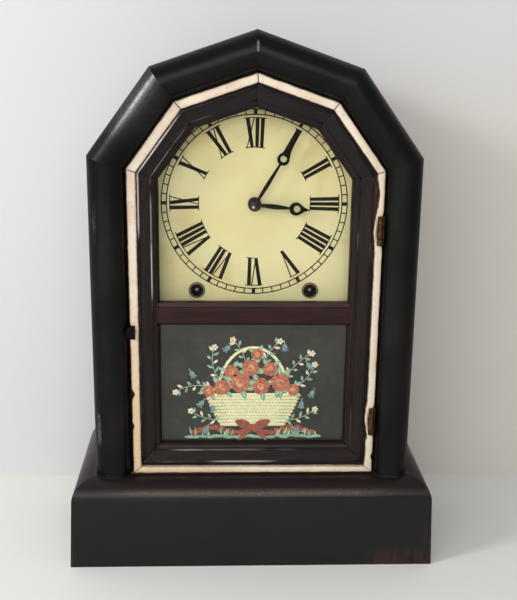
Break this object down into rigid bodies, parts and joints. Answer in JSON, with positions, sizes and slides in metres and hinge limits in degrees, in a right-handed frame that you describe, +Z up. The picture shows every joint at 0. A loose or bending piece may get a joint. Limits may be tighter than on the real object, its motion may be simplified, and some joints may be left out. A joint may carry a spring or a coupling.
{
  "type": "shelf clock",
  "caption": "Polygon-top wooden shelf clock with half-round moulding, glazed hinged door, painted dial, hands, two-train movement, pendulum and gong.",
  "frame": {"origin": "on the floor, under the middle of the base's footprint", "axes": "+X to the viewer's right, +Y to the back, +Z up"},
  "size_m": [0.2832, 0.122, 0.4064],
  "materials": {
    "black_wood": "old black lacquer over veneer, satin, rubbed at the edges",
    "dark_wood": "dark red-brown lacquer, satin",
    "rail_wood": "red-brown lacquer, satin",
    "pine": "bare aged softwood",
    "cream_bead": "aged pinkish cream paint, satin, chipped",
    "glass": "clear old glass",
    "tablet": "glass painted from behind, grey-green ground with a flower design",
    "dial": "ivory paint, eggshell, with black printed numerals",
    "old_brass": "brown tarnished brass",
    "brass": "brushed movement brass",
    "steel": "grey spring steel",
    "iron": "black painted casting",
    "blued_steel": "black gloss"
  },
  "bodies": {
    "case": {"base_front": "black_wood", "base_side_left": "black_wood", "base_side_right": "black_wood", "base_rear_rail": "pine", "base_deck": "pine", "base_glue_blocks": "pine", "case_side_left": "black_wood", "case_side_right": "black_wood", "roof_boards": "black_wood", "back_board": "pine", "front_frame": "black_wood", "half_round_left": "black_wood", "half_round_right": "black_wood", "half_round_arch_1": "black_wood", "half_round_arch_2": "black_wood", "half_round_arch_3": "black_wood", "half_round_arch_4": "black_wood", "dial_strips": "pine", "dial_plate": "dial", "winding_grommets": "old_brass", "screws": "steel", "movement_blocks": "pine", "front_plate": "brass", "back_plate": "brass", "mainsprings": "steel", "gong_block": "iron", "gong_coil": "steel", "hinge_case_leaves": "old_brass", "hinge_pins": "old_brass"},
    "door": {"door_stile_left": "dark_wood", "door_stile_right": "dark_wood", "door_bottom_rail": "dark_wood", "door_mid_rail": "rail_wood", "door_arch_rails": "dark_wood", "door_bead": "cream_bead", "upper_glass": "glass", "tablet_glass": "tablet", "glazing_strips": "dark_wood", "hinge_door_leaves": "old_brass"},
    "catch": {"door_catch": "old_brass"},
    "minute": {"minute_hand": "blued_steel", "hand_boss": "blued_steel", "minute_pipe": "brass", "centre_wheel": "brass"},
    "hour": {"hour_hand": "blued_steel", "hour_pipe": "brass"},
    "motion": {"motion_wheel": "brass"},
    "time_great": {"time_great_wheel": "brass"},
    "time_second": {"time_second_wheel": "brass"},
    "time_third": {"time_third_wheel": "brass"},
    "time_fourth": {"time_fourth_wheel": "brass"},
    "escape": {"escape_wheel": "brass"},
    "strike_great": {"strike_great_wheel": "brass"},
    "strike_second": {"strike_second_wheel": "brass"},
    "strike_third": {"strike_third_wheel": "brass"},
    "strike_fly": {"fly": "brass"},
    "verge": {"verge": "steel"},
    "pendulum": {"pendulum_rod": "brass", "pendulum_bob": "brass"},
    "hammer": {"hammer": "steel"}
  },
  "joints": [
    {"name": "door_swing", "type": "hinge", "parent": "case", "child": "door", "pos_m": [0.09155, -0.044, 0.19], "axis": [0, 0, 1], "range_deg": [0, 120]},
    {"name": "catch_turn", "type": "hinge", "parent": "door", "child": "catch", "pos_m": [-0.09025, -0.0434, 0.1872], "axis": [0, 1, 0], "range_deg": [0, 90]},
    {"name": "time_third_turn", "type": "hinge", "parent": "case", "child": "time_third", "pos_m": [0.03317, 0.0105, 0.27989], "axis": [0, 1, 0], "continuous": true},
    {"name": "minute_turn", "type": "hinge", "parent": "case", "child": "minute", "pos_m": [0, 0.0105, 0.2802], "axis": [0, 1, 0], "continuous": true},
    {"name": "hour_turn", "type": "hinge", "parent": "case", "child": "hour", "pos_m": [0, 0.0105, 0.2802], "axis": [0, 1, 0], "continuous": true},
    {"name": "motion_turn", "type": "hinge", "parent": "case", "child": "motion", "pos_m": [0.0105, 0.0105, 0.26201], "axis": [0, 1, 0], "continuous": true},
    {"name": "time_great_turn", "type": "hinge", "parent": "case", "child": "time_great", "pos_m": [0.0435, 0.0105, 0.2128], "axis": [0, 1, 0], "continuous": true},
    {"name": "time_second_turn", "type": "hinge", "parent": "case", "child": "time_second", "pos_m": [0.02998, 0.0105, 0.24584], "axis": [0, 1, 0], "continuous": true},
    {"name": "time_fourth_turn", "type": "hinge", "parent": "case", "child": "time_fourth", "pos_m": [0.01902, 0.0105, 0.29726], "axis": [0, 1, 0], "continuous": true},
    {"name": "escape_turn", "type": "hinge", "parent": "case", "child": "escape", "pos_m": [0, 0.0105, 0.302], "axis": [0, 1, 0], "continuous": true},
    {"name": "strike_third_turn", "type": "hinge", "parent": "case", "child": "strike_third", "pos_m": [-0.03317, 0.0105, 0.27989], "axis": [0, 1, 0], "continuous": true},
    {"name": "strike_great_turn", "type": "hinge", "parent": "case", "child": "strike_great", "pos_m": [-0.0435, 0.0105, 0.2128], "axis": [0, 1, 0], "continuous": true},
    {"name": "strike_second_turn", "type": "hinge", "parent": "case", "child": "strike_second", "pos_m": [-0.02998, 0.0105, 0.24584], "axis": [0, 1, 0], "continuous": true},
    {"name": "fly_turn", "type": "hinge", "parent": "case", "child": "strike_fly", "pos_m": [-0.04437, 0.0105, 0.29929], "axis": [0, 1, 0], "continuous": true},
    {"name": "pendulum_swing", "type": "hinge", "parent": "case", "child": "pendulum", "pos_m": [0, 0.039, 0.322], "axis": [0, 1, 0], "range_deg": [-3.5, 3.5]},
    {"name": "verge_rock", "type": "hinge", "parent": "case", "child": "verge", "pos_m": [0, 0.0105, 0.322], "axis": [0, 1, 0], "range_deg": [-3.5, 3.5]},
    {"name": "hammer_lift", "type": "hinge", "parent": "case", "child": "hammer", "pos_m": [-0.008, 0.0105, 0.201], "axis": [0, 1, 0], "range_deg": [0, 12]}
  ],
  "couplings": [
    {"joint": "minute_turn", "follows": "time_third_turn", "ratio": 0.25},
    {"joint": "hour_turn", "follows": "time_third_turn", "ratio": 0.020833},
    {"joint": "motion_turn", "follows": "time_third_turn", "ratio": -0.083333},
    {"joint": "time_great_turn", "follows": "time_third_turn", "ratio": 0.020833},
    {"joint": "time_second_turn", "follows": "time_third_turn", "ratio": -0.125},
    {"joint": "time_fourth_turn", "follows": "time_third_turn", "ratio": -6},
    {"joint": "escape_turn", "follows": "time_third_turn", "ratio": 36},
    {"joint": "strike_great_turn", "follows": "strike_third_turn", "ratio": 0.020833},
    {"joint": "strike_second_turn", "follows": "strike_third_turn", "ratio": -0.125},
    {"joint": "fly_turn", "follows": "strike_third_turn", "ratio": -6},
    {"joint": "verge_rock", "follows": "pendulum_swing", "ratio": 1}
  ]
}
